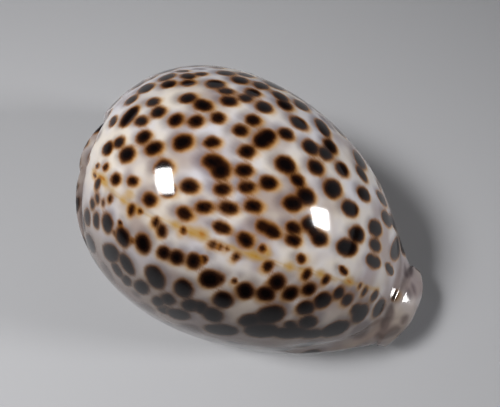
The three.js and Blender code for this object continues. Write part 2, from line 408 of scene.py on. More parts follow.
    def radius(self, place: np.ndarray, angle: np.ndarray, face: Face) -> np.ndarray:
        """Returns a face's radius with the rim at each end rounded off."""
        skin = self.skin_radius(place, angle)
        hollow = self.hollow_radius(place, angle)
        near = np.clip(1 - (1 - np.abs(place)) * self.half_length / self.rim_rounding, 0.0, 1.0)
        rounding = (1 - self.rim_face) * (skin - hollow) * (1 - np.sqrt(1 - near**2))
        if face is Face.SKIN:
            return skin - rounding * (1 - self.rim_inner_share)
        return hollow + rounding * self.rim_inner_share

    def section_point(self, place: np.ndarray, angle: np.ndarray, face: Face) -> np.ndarray:
        """Returns points of a face as side and height, with the base held above the floor."""
        radius = self.radius(place, angle, face)
        side = self.side_line.at(place) + radius * np.sin(angle)
        height = self.height_line.at(place) - radius * np.cos(angle) - self.base_trim
        held = (height + np.sqrt(height**2 + self.base_softness**2)) / 2
        return np.stack([side, np.where(height > self.base_reach, height, held)], axis=-1)

    def angle_at(self, place: np.ndarray, side: np.ndarray, face: Face) -> np.ndarray:
        """Finds the angle at which the lower half of each section passes a given side."""
        angle = np.zeros_like(place)
        for _ in range(self.angle_passes):
            radius = self.radius(place, angle, face)
            sine = (side - self.side_line.at(place)) / radius
            sine = np.clip(sine, -self.steepest_sine, self.steepest_sine)
            angle = (angle + np.arcsin(sine)) / 2
        return angle

    def slit(self, place: np.ndarray) -> tuple[np.ndarray, np.ndarray]:
        """Returns the slit's middle and its half width at each place."""
        middle = self.side_line.at(place) + self.slit_offset * (1 - place * place)
        gain = self.slit_gain * bell(place, self.slit_gain_place, self.slit_gain_spread)
        return middle, self.slit_gap + gain

    def base_height(self, place: np.ndarray, side: np.ndarray) -> np.ndarray:
        """Returns the skin's height under a given side."""
        return self.section_point(place, self.angle_at(place, side, Face.SKIN), Face.SKIN)[..., 1]

    def lip(self, place: np.ndarray, side: int) -> Lip:
        """Measures one lip at every station.

        Args:
            place: The stations' places.
            side: 1 for the columella lip and -1 for the outer lip.

        Returns:
            The lip's sizes, one array each.
        """
        middle, gap = self.slit(place)
        quarter = np.full_like(place, side * math.pi / 2)
        far = self.section_point(place, quarter, Face.SKIN)[..., 0]
        run = np.minimum(self.lip_run, self.lip_run_share * (np.abs(far - middle) - gap))
        edge = middle + side * gap
        outer = self.angle_at(place, edge + side * run, Face.SKIN)
        floor_angle = self.angle_at(place, edge + side * self.inner_rounding / 2, Face.HOLLOW)
        floor = self.section_point(place, floor_angle, Face.HOLLOW)
        thickness = floor[..., 1] - self.base_height(place, edge)
        rise = np.minimum(self.lip_rise, self.lip_rise_share * thickness)
        return Lip(side, edge, run, rise, outer, floor_angle, floor)

    def lip_point(self, place: np.ndarray, lip: Lip, turn: float) -> np.ndarray:
        """Returns a point of a lip's rounding, from the base to the slit's wall at a quarter turn."""
        side = lip.edge + lip.side * lip.run * (1 - math.sin(turn))
        height = self.base_height(place, side) + lip.rise * (1 - math.cos(turn))
        return np.stack([side, height], axis=-1)

    def inner_lip_point(self, lip: Lip, turn: float) -> np.ndarray:
        """Returns a point of a lip's inner edge, from the hollow's floor to the slit's wall."""
        side = mix(lip.floor[..., 0], lip.edge, math.sin(turn))
        height = lip.floor[..., 1] - self.inner_rounding / 2 * (1 - math.cos(turn))
        return np.stack([side, height], axis=-1)

    def placed(self, place: np.ndarray, points: np.ndarray) -> np.ndarray:
        """Turns side and height into points of the shell, with the slanted rims."""
        side = points[..., 0]
        height = points[..., 1]
        angle = np.arctan2(side - self.side_line.at(place), self.height_line.at(place) - height)
        near = smooth((np.abs(place) - 1 + self.rim_reach) / self.rim_reach)
        slanted = (1 - self.spout(place, "slant_side") * np.sin(angle)) / 2
        bowed = self.spout(place, "bow") * np.abs(np.sin(angle)) ** self.bow_power
        back = near * (self.spout(place, "slant") * slanted + bowed)
        along = place * self.half_length - np.sign(place) * back
        return np.stack([along, side + self.side_shift, height], axis=-1)

    def arc(self, place: np.ndarray, start: np.ndarray, end: np.ndarray, steps: int,
            face: Face) -> list[np.ndarray]:
        """Returns a face's points from the columella side over the dome to the outer lip side."""
        points = []
        for step in range(steps + 1):
            angle = mix(start, 2 * math.pi + end, step / steps)
            points.append(self.section_point(place, angle, face))
        return points

    def places(self) -> np.ndarray:
        """Returns the stations' places: even along the shell, and closer together at the ends."""
        share = np.linspace(0.0, 1.0, self.stations)
        crowded = -np.cos(math.pi * share)
        return self.end_crowding * crowded + (1 - self.end_crowding) * (2 * share - 1)

    def loops(self) -> tuple[np.ndarray, np.ndarray, np.ndarray]:
        """Builds every section's closed loop of points.

        Returns:
            Points by station and place in the loop, and for each place in the loop which face it
            is on (0 for the skin, 1 for the hollow) and how far it turns round a lip (0 to 1, with
            the outer lip's below zero).
        """
        place = self.places()
        quarter = math.pi / 2
        columella = self.lip(place, 1)
        outer = self.lip(place, -1)
        skin: list[np.ndarray] = []
        hollow: list[np.ndarray] = []
        turns: list[float] = []
        for step in range(self.lip_steps):
            share = 1 - step / self.lip_steps
            skin.append(self.lip_point(place, columella, share * quarter))
            turns.append(share)
        arc = self.arc(place, columella.outer_angle, outer.outer_angle, self.outer_steps, Face.SKIN)
        skin.extend(arc)
        turns.extend([0.0] * len(arc))
        for step in range(1, self.lip_steps + 1):
            share = step / self.lip_steps
            skin.append(self.lip_point(place, outer, share * quarter))
            turns.append(-share)
        for step in range(self.inner_lip_steps):
            share = 1 - step / self.inner_lip_steps
            hollow.append(self.inner_lip_point(columella, share * quarter))
        hollow.extend(self.arc(place, columella.floor_angle, outer.floor_angle, self.inner_steps,
                               Face.HOLLOW))
        for step in range(1, self.inner_lip_steps + 1):
            share = step / self.inner_lip_steps
            hollow.append(self.inner_lip_point(outer, share * quarter))
        hollow.reverse()
        ring = [self.placed(place, points) for points in skin + hollow]
        faces = np.array([0.0] * len(skin) + [1.0] * len(hollow))
        return np.stack(ring, axis=1), faces, np.array(turns + [0.0] * len(hollow))


@dataclass
class ShellBody:
    """The shell's mesh: the loops joined along the shell and closed at both rims."""

    form: ShellForm
    name: str = "cowrie_shell"

    def faces(self, stations: int, size: int, skin_count: int) -> list[tuple[int, ...]]:
        """Joins the loops with quads, and closes each rim between its skin and its hollow.

        Args:
            stations: How many loops there are.
            size: How many points a loop has.
            skin_count: How many of them are on the skin.

        Returns:
            The faces, with their corners turning outwards.
        """
        grid = np.arange(stations * size).reshape(stations, size)
        here = grid[:-1]
        there = grid[1:]
        quads = np.stack([
            here, np.roll(here, -1, axis=1), np.roll(there, -1, axis=1), there,
        ], axis=-1).reshape(-1, 4)
        joined = [tuple(quad) for quad in quads.tolist()]
        return joined + self.rim(grid[0], skin_count, True) + self.rim(grid[-1], skin_count, False)

    @staticmethod
    def rim(ring: np.ndarray, skin_count: int, flipped: bool) -> list[tuple[int, ...]]:
        """Returns the strip of triangles between the skin's edge and the hollow's edge."""
        hollow_count = len(ring) - skin_count
        strip: list[tuple[int, ...]] = []
        skin = 0
        hollow = 0
        while skin + 1 < skin_count or hollow + 1 < hollow_count:
            on_skin = (skin + 1) / skin_count < (hollow + 1) / hollow_count
            first = int(ring[skin])
            second = int(ring[-1 - hollow])
            third = int(ring[skin + 1]) if on_skin else int(ring[-2 - hollow])
            strip.append((first, second, third) if flipped else (first, third, second))
            if on_skin:
                skin += 1
            else:
                hollow += 1
        return strip

    def build(self) -> tuple[bpy.types.Object, np.ndarray, np.ndarray, np.ndarray]:
        """Builds the plain body.

        Returns:
            The object, and for each vertex its place along the shell, its face and its lip turn.
        """
        points, faces, turns = self.form.loops()
        stations, size, _ = points.shape
        skin_count = int((faces == 0).sum())
        mesh = bpy.data.meshes.new(self.name)
        corners = self.faces(stations, size, skin_count)
        mesh.from_pydata((points.reshape(-1, 3) * MM).tolist(), [], corners)
        mesh.validate()
        mesh.polygons.foreach_set("use_smooth", [True] * len(mesh.polygons))
        mesh.update()
        shell = bpy.data.objects.new(self.name, mesh)
        bpy.context.scene.collection.objects.link(shell)
        place = np.repeat(self.form.places(), size)
        return shell, place, np.tile(faces, stations), np.tile(turns, stations)


def set_attribute(mesh: bpy.types.Mesh, name: str, values: np.ndarray) -> None:
    """Stores one number for each vertex of a mesh under a name."""
    kind = "FLOAT_VECTOR" if values.ndim == 2 else "FLOAT"
    attribute = mesh.attributes.get(name) or mesh.attributes.new(name, kind, "POINT")
    key = "vector" if values.ndim == 2 else "value"
    attribute.data.foreach_set(key, values.astype(np.float32).ravel())


def vertex_data(mesh: bpy.types.Mesh, key: str) -> np.ndarray:
    """Returns the vertices' places ("co") or normals ("normal"), one on each row."""
    values = np.zeros(len(mesh.vertices) * 3, dtype=np.float32)
    mesh.vertices.foreach_get(key, values)
    return values.reshape(-1, 3).astype(float)


def add_node(tree: bpy.types.NodeTree, kind: str, settings: dict[str, Any] | None = None,
             links: dict[Any, Any] | None = None) -> bpy.types.Node:
    """Adds a node with its settings, its sockets' values and its links.

    Args:
        tree: The tree that gets the node.
        kind: The node's type.
        settings: Properties of the node by name.
        links: A value or another node's output for each input, by the input's name or number.

    Returns:
        The new node.
    """
    node = tree.nodes.new(kind)
    for name, value in (settings or {}).items():
        setattr(node, name, value)
    for name, value in (links or {}).items():
        socket = node.inputs[name]
        if isinstance(value, bpy.types.NodeSocket):
            tree.links.new(value, socket)
        else:
            socket.default_value = value
    return node


@dataclass
class Teeth:
    """Two rows of ridges across the lips, raised from the body by Geometry Nodes."""

    form: ShellForm
    lip_count: int = 24
    columella_count: int = 22
    back: float = -0.84
    front: float = 0.8
    height: float = 1.15
    fade: float = 0.03
    sharpness: float = 1.4
    start: float = 0.16
    full: float = 0.55
    clearance: float = 0.85

    def mark(self, mesh: bpy.types.Mesh, place: np.ndarray, turn: np.ndarray) -> None:
        """Stores each vertex's place in its row of teeth, and how far the ridge is raised there.

        A ridge never reaches lower than the base, so it starts flush with it.

        Args:
            mesh: The body's mesh.
            place: Each vertex's place along the shell.
            turn: Each vertex's turn round its lip, below zero on the outer lip.
        """
        count = np.where(turn < 0, self.lip_count, self.columella_count)
        phase = (place - self.back) / (self.front - self.back) * (count - 1)
        back = smooth((place - self.back) / self.fade + 1)
        front = smooth((self.front - place) / self.fade + 1)
        across = smooth((np.abs(turn) - self.start) / (self.full - self.start))
        set_attribute(mesh, "tooth_phase", phase)
        room = vertex_data(mesh, "co")[:, 2] / MM / self.height
        set_attribute(mesh, "tooth_share", np.minimum(back * front * across, self.clearance * room))

    def tree(self) -> bpy.types.NodeTree:
        """Builds the tree that raises the ridges along the surface's normals."""
        tree = bpy.data.node_groups.new("raise_teeth", "GeometryNodeTree")
        face = tree.interface
        face.new_socket("Geometry", in_out="INPUT", socket_type="NodeSocketGeometry")
        height = face.new_socket("Tooth Height", in_out="INPUT", socket_type="NodeSocketFloat")
        height.default_value = 0.001
        sharp = face.new_socket("Ridge Sharpness", in_out="INPUT", socket_type="NodeSocketFloat")
        sharp.default_value = 1.0
        face.new_socket("Finish", in_out="INPUT", socket_type="NodeSocketMaterial")
        face.new_socket("Geometry", in_out="OUTPUT", socket_type="NodeSocketGeometry")
        given = add_node(tree, "NodeGroupInput")
        phase = add_node(tree, "GeometryNodeInputNamedAttribute", {"data_type": "FLOAT"},
                         {"Name": "tooth_phase"})
        share = add_node(tree, "GeometryNodeInputNamedAttribute", {"data_type": "FLOAT"},
                         {"Name": "tooth_share"})
        turned = add_node(tree, "ShaderNodeMath", {"operation": "MULTIPLY"},
                          {0: phase.outputs[0], 1: 2 * math.pi})
        wave = add_node(tree, "ShaderNodeMath", {"operation": "COSINE"}, {0: turned.outputs[0]})
        lifted = add_node(tree, "ShaderNodeMath", {"operation": "MULTIPLY_ADD"},
                          {0: wave.outputs[0], 1: 0.5, 2: 0.5})
        ridge = add_node(tree, "ShaderNodeMath", {"operation": "POWER"},
                         {0: lifted.outputs[0], 1: given.outputs["Ridge Sharpness"]})
        raised = add_node(tree, "ShaderNodeMath", {"operation": "MULTIPLY"},
                          {0: ridge.outputs[0], 1: share.outputs[0]})
        amount = add_node(tree, "ShaderNodeMath", {"operation": "MULTIPLY"},
                          {0: raised.outputs[0], 1: given.outputs["Tooth Height"]})
        normal = add_node(tree, "GeometryNodeInputNormal")
        offset = add_node(tree, "ShaderNodeVectorMath", {"operation": "SCALE"},
                          {0: normal.outputs[0], "Scale": amount.outputs[0]})
        moved = add_node(tree, "GeometryNodeSetPosition", None,
                         {"Geometry": given.outputs["Geometry"], "Offset": offset.outputs[0]})
        real = add_node(tree, "GeometryNodeRealizeInstances", None,
                        {"Geometry": moved.outputs[0]})
        dressed = add_node(tree, "GeometryNodeSetMaterial", None,
                           {"Geometry": real.outputs[0], "Material": given.outputs["Finish"]})
        add_node(tree, "NodeGroupOutput", None, {0: dressed.outputs[0]})
        return tree

    def raise_on(self, shell: bpy.types.Object, finish: bpy.types.Material) -> None:
        """Runs the tree on the body and keeps the result as its plain mesh."""
        tree = self.tree()
        values = {"Tooth Height": self.height * MM, "Ridge Sharpness": self.sharpness,
                  "Finish": finish}
        modifier = shell.modifiers.new("teeth", "NODES")
        modifier.node_group = tree
        for item in tree.interface.items_tree:
            if item.item_type == "SOCKET" and item.in_out == "INPUT" and item.name in values:
                modifier[item.identifier] = values[item.name]
        depsgraph = bpy.context.evaluated_depsgraph_get()
        result = bpy.data.meshes.new_from_object(shell.evaluated_get(depsgraph))
        shell.modifiers.remove(modifier)
        old = shell.data
        shell.data = result
        result.name = shell.name
        bpy.data.meshes.remove(old)


@dataclass(frozen=True)
class Spot:
    """A spot as the photograph shows it: its middle and half sizes in pixels.

    The turn is in degrees, from level to down on the right.
    """

    across: float
    down: float
    half_length: float
    half_width: float
    turn: float
    ink: Ink = Ink.DARK


UPPER_EDGE_SPOTS = (
    Spot(99, 136, 6, 1.3, -62, Ink.FAINT),
    Spot(113, 121, 6, 2.8, -60),
    Spot(131, 100, 7.5, 3, -36),
    Spot(146, 88, 9, 3.5, -26),
    Spot(153, 102, 7, 4, -20),
    Spot(158, 112, 8, 5.5, -25),
    Spot(167, 77, 9, 2.5, -20),
    Spot(168.5, 84, 8, 3.5, -13),
    Spot(182, 71, 7, 1, 0, Ink.BROWN),
    Spot(188, 76, 8, 2.8, 0),
    Spot(188, 83, 7.5, 3, -5),
    Spot(198.5, 69, 8, 1, 0, Ink.FAINT),
    Spot(201, 74, 6, 1.8, 0),
    Spot(215, 84, 10, 4.5, 3),
    Spot(226, 73, 9, 2.3, 5),
    Spot(226, 91, 8.5, 3, 5),
    Spot(240, 80, 9, 3.5, 10),
    Spot(246, 75, 8, 1.5, 13),
    Spot(246, 98, 8, 4, 12),
    Spot(253, 92.5, 8.5, 3.7, 14),
    Spot(261, 85.5, 8.5, 3.2, 18),
    Spot(275, 85.5, 11, 2, 24),
    Spot(280, 96, 9.5, 3.2, 28),
    Spot(285, 105, 9, 4.2, 28),
    Spot(301, 105, 9, 3, 35),
    Spot(308, 106, 6, 1.3, 40, Ink.FAINT),
    Spot(327, 122.5, 12, 1.6, 45, Ink.FAINT),
    Spot(360, 160, 11, 3.3, 60),
    Spot(362, 174, 9.5, 3.2, 58),
    Spot(382, 198.5, 9, 2.5, 60),
    Spot(387, 219, 9, 3.8, 65),
    Spot(394, 223, 11, 1.8, 65),
)

UPPER_DOME_SPOTS = (
    Spot(129, 116, 13.5, 5, -49),
    Spot(141, 121, 7, 5, -20),
    Spot(143.5, 137, 8.5, 6, -38),
    Spot(119, 142.3, 7, 4.5, -55),
    Spot(107.5, 148.4, 7.5, 4.5, -60),
    Spot(127, 154.4, 9, 7, -50),
    Spot(154, 148, 9.5, 6.8, -25),
    Spot(188, 98, 9, 5, -10),
    Spot(203, 105, 10, 6, 10),
    Spot(229, 101, 9, 5, 8),
    Spot(264, 107, 9.5, 5.5, 22),
    Spot(175.5, 120, 8.5, 6, -35),
    Spot(196, 121, 8.5, 6.2, -10),
    Spot(218, 118, 8, 5.5, 5),
    Spot(240.5, 130.5, 8.7, 6, 5),
    Spot(253, 120, 8, 5.5, 12),
    Spot(264.8, 138.5, 12, 9, -25),
    Spot(286.3, 134, 8.7, 5.5, 28),
    Spot(299, 123, 11, 5, 33),
    Spot(323, 127.5, 11, 4.3, 52),
    Spot(182.8, 142.1, 11, 8, -20),
    Spot(211.9, 142.4, 8.5, 5.8, -5),
    Spot(247, 151.4, 9, 6.5, 5),
    Spot(310.8, 147, 10, 6.5, 40),
    Spot(325.5, 153.8, 8.8, 5.5, 40),
    Spot(330.3, 145.8, 9.2, 4.8, 50),
    Spot(213.5, 162, 11.5, 7.5, 8),
    Spot(221, 170.5, 10, 9.5, 20),
    Spot(163.5, 168, 10, 8.5, -20),
    Spot(168, 190.5, 8.5, 7, 0, Ink.BROWN),
    Spot(189.5, 186.4, 9.5, 7, 5),
    Spot(244, 170.5, 9.5, 6.5, 5),
    Spot(285.3, 164.8, 11.5, 8.5, 35),
    Spot(316, 167.3, 9.5, 6.5, 45),
    Spot(342.1, 169.1, 8.8, 5, 53),
    Spot(222, 189, 9, 6.5, 5),
    Spot(247, 187.2, 8.6, 6.3, 0),
    Spot(268.8, 182.9, 9.5, 7, 15),
    Spot(297.7, 180.4, 8.5, 5.5, 40),
    Spot(306, 196.3, 10.3, 8, 40),
    Spot(293, 203.5, 11, 8, 5),
    Spot(332.8, 188.5, 10.5, 8.5, 57),
    Spot(364, 194, 9, 5, 56),
    Spot(350.1, 208.7, 9.5, 7.5, 45),
    Spot(149.5, 199.5, 7.4, 6.7, 40),
    Spot(115.5, 179.6, 6.5, 4.7, -75),
    Spot(132.7, 181, 5.5, 5, 0),
    Spot(184.3, 213.7, 8.5, 6.3, 25),
    Spot(204, 207.3, 9, 6.2, 8),
    Spot(228.3, 208, 9.7, 6.5, 12),
    Spot(253.4, 206, 9.5, 6.5, 5),
    Spot(221.7, 227.7, 9.5, 5.5, 25),
    Spot(245.5, 240, 9.3, 7, 35),
    Spot(262.8, 226, 7.5, 6.3, 20),
    Spot(272, 231.2, 9.5, 6.7, 27),
    Spot(293.6, 227.8, 8.3, 6.3, 20),
    Spot(293.4, 240.5, 8.3, 6, 10),
    Spot(308.9, 223.8, 7.8, 7.3, 45),
    Spot(314, 232, 7, 6, 50),
    Spot(319.7, 238.5, 8.4, 7.8, 30),
    Spot(357, 234.5, 9, 7.5, 60),
    Spot(347.3, 247.5, 10.5, 9, 10),
    Spot(375.6, 228.3, 9, 6.5, 72),
    Spot(375.3, 245.3, 7.3, 5.3, 65),
    Spot(373.6, 261.5, 8.2, 6.3, 48),
    Spot(396.4, 248.7, 11.5, 4.5, -82),
    Spot(389.6, 269.1, 6.8, 3.3, 66),
    Spot(405.3, 271, 7, 2, 75, Ink.FAINT),
    Spot(411, 270.5, 5, 3, 80, Ink.FAINT),
)

LINE_SPOTS = (
    Spot(97.3, 165.9, 3.4, 2, -60, Ink.BROWN),
    Spot(105.9, 166.9, 4.5, 3, -65, Ink.BROWN),
    Spot(94.8, 174.8, 3.2, 1.5, 62, Ink.BROWN),
    Spot(131.4, 210.1, 6.3, 3.8, -80),
    Spot(140, 211.3, 3.2, 3.1, 0, Ink.BROWN),
    Spot(155.7, 221.9, 5.3, 3.6, -75),
    Spot(161.8, 230.9, 7, 4.9, 78),
    Spot(183.5, 230.7, 4, 3.3, 80, Ink.BROWN),
    Spot(212.5, 244.7, 4.4, 4, 10),
    Spot(219.8, 247.2, 2.9, 2.8, 0, Ink.BROWN),
    Spot(227.2, 248.7, 2.7, 2.6, 0, Ink.BROWN),
    Spot(236.1, 257.1, 4.4, 4, -30),
    Spot(262.3, 248.3, 4.6, 4.2, 60, Ink.BROWN),
    Spot(268, 266.3, 6, 4.8, -42),
    Spot(301, 258.8, 5.2, 5, 50, Ink.BROWN),
    Spot(306.9, 274.5, 6.6, 4.4, -60),
    Spot(325.8, 279.9, 5.6, 3.6, -57),
    Spot(343.4, 270.4, 6, 3.5, 52, Ink.BROWN),
    Spot(349.3, 281.2, 4, 3.6, 40, Ink.ORANGE),
    Spot(360.1, 285.7, 3.6, 1.7, -65, Ink.BROWN),
)

LOWER_SPOTS = (
    Spot(97.6, 183.8, 6.5, 2.8, -75),
    Spot(97.3, 198.6, 5.3, 2.2, 82),
    Spot(92.2, 203.7, 5.7, 2.4, 85),
    Spot(102.9, 202.8, 3.6, 1.8, 88),
    Spot(110.1, 198.6, 4.4, 2.5, -80),
    Spot(107.2, 223.2, 10.2, 5.5, 84),
    Spot(96.2, 220.6, 8.2, 3.3, 87),
    Spot(87.1, 217.4, 8.8, 3, 86, Ink.BROWN),
    Spot(81.7, 220.6, 12, 2, 86, Ink.FAINT),
    Spot(120.3, 223.8, 4.2, 2.2, 70, Ink.BROWN),
    Spot(122.8, 237.3, 10.6, 6.6, 68),
    Spot(114.8, 233.4, 4, 2, 60, Ink.BROWN),
    Spot(142.9, 243.8, 10.7, 7.6, 72),
    Spot(131.7, 240.4, 3.4, 2.6, 20, Ink.BROWN),
    Spot(90.3, 244, 10.5, 3.3, 70, Ink.BROWN),
    Spot(110.4, 253.1, 10.2, 7, 58),
    Spot(126.7, 264.5, 12.8, 5.3, 58),
    Spot(163.7, 252.9, 6.8, 6.6, 50),
    Spot(176.8, 257.4, 8, 7.6, 30),
    Spot(193.4, 261.2, 7.8, 7.6, 0),
    Spot(203.6, 259.3, 4.7, 4.4, 0, Ink.BROWN),
    Spot(155.3, 277.9, 13.5, 8.2, 56),
    Spot(141.2, 287.4, 8.7, 6, 42),
    Spot(117, 270, 9.5, 3.4, 58, Ink.BROWN),
    Spot(126.6, 281, 6.2, 3.8, 50, Ink.BROWN),
    Spot(107.4, 272.8, 12, 3, 60, Ink.FAINT),
    Spot(168, 299.5, 7.7, 5.6, 25),
    Spot(157.8, 302, 6.6, 4.6, 35),
    Spot(183.4, 289.1, 10.7, 9, 38),
    Spot(210.3, 279.3, 11.5, 9, 5),
    Spot(220.5, 279, 4.6, 4, 0),
    Spot(234.7, 280.6, 3.3, 3.2, 0, Ink.BROWN),
    Spot(222.9, 300.4, 10.4, 8.6, 12),
    Spot(245.3, 291, 9.6, 9, 10),
    Spot(265.8, 293.9, 10, 8, 0),
    Spot(277.2, 282.2, 9.4, 8, -30),
    Spot(290.6, 293.4, 9.2, 6.9, -32),
    Spot(309.2, 289.2, 8.2, 6.4, -35),
    Spot(305.6, 308.3, 9.7, 7.2, -15),
    Spot(323, 300.6, 10.5, 7.3, -33),
    Spot(338.9, 293.2, 7.4, 5.2, -50),
    Spot(347.6, 299.4, 7.6, 4.8, -52),
    Spot(364.3, 291.8, 5.6, 2.2, -62),
    Spot(374.4, 296, 6.4, 3, -62),
    Spot(394.4, 295.3, 6.2, 2, -67, Ink.BROWN),
)

MARGIN_SPOTS = (
    Spot(190.4, 305.5, 9, 6, 5),
    Spot(200.6, 307.5, 8, 6, 30),
    Spot(212.8, 315.2, 10.8, 7, 20),
    Spot(178.3, 314.6, 12, 5, 15),
    Spot(164, 309.5, 8, 4, 25, Ink.BROWN),
    Spot(221, 330, 17, 5.3, 6),
    Spot(189, 329, 12, 4, 15, Ink.FAINT),
    Spot(147, 308.5, 9, 3, 33, Ink.FAINT),
    Spot(136, 293.8, 5, 2.5, 42, Ink.FAINT),
    Spot(250, 320.5, 12, 6.5, -8),
    Spot(270, 315.5, 16, 9, -14),
    Spot(262, 331, 18, 7, 0),
    Spot(290, 333, 18, 6, -3),
    Spot(291, 325.5, 7.3, 5, 0),
    Spot(308, 322.3, 10, 6.6, -16),
    Spot(312, 334, 12, 4.5, -8),
    Spot(335.3, 329.3, 15.5, 6.6, -22),
    Spot(355.5, 308.7, 6.6, 3.7, -55),
    Spot(360.5, 313.5, 11.5, 6.5, -52),
    Spot(345, 325, 8, 4, -30, Ink.FAINT),
    Spot(379, 308, 10.5, 4.4, -62),
    Spot(387, 318, 15, 5.2, -58, Ink.FAINT),
    Spot(361, 330, 13, 5, -38, Ink.FAINT),
    Spot(389, 333.5, 14, 4.5, -27, Ink.FAINT),
    Spot(404, 320, 6, 3, -60, Ink.FAINT),
    Spot(409, 294.5, 6, 3, 80, Ink.FAINT),
    Spot(413.5, 288.6, 5.2, 1.6, 72, Ink.FAINT),
)

GOLD_SPOTS = (
    Spot(102, 178, 6, 3, 50, Ink.ORANGE),
    Spot(129.8, 194.2, 3, 2.2, 25, Ink.ORANGE),
    Spot(123.6, 199.6, 2.4, 2, 70, Ink.ORANGE),
    Spot(175.5, 225.5, 2.4, 2, 0, Ink.ORANGE),
    Spot(202.3, 234.2, 7, 5, 40, Ink.ORANGE),
    Spot(193.5, 233, 5, 3, 10, Ink.ORANGE),
    Spot(254.5, 255, 6.5, 3.2, 25, Ink.ORANGE),
    Spot(268, 254, 3, 2, 0, Ink.ORANGE),
    Spot(290.4, 266.3, 3, 2.3, 80, Ink.ORANGE),
    Spot(320, 273.3, 2.4, 2, 0, Ink.ORANGE),
)

MANTLE_LINE = (
    (93, 171), (106, 185), (122, 200), (152, 217), (181, 227), (213, 241), (251, 255), (291, 267),
    (329, 277), (361, 285), (378, 290),
)


@dataclass
class PlacedSpot:
    """A spot on the shell: its middle, normal and the form that measures its outline, in mm."""

    middle: np.ndarray
    normal: np.ndarray
    first: np.ndarray
    second: np.ndarray
    outline: np.ndarray
    size: float
    ink: Ink


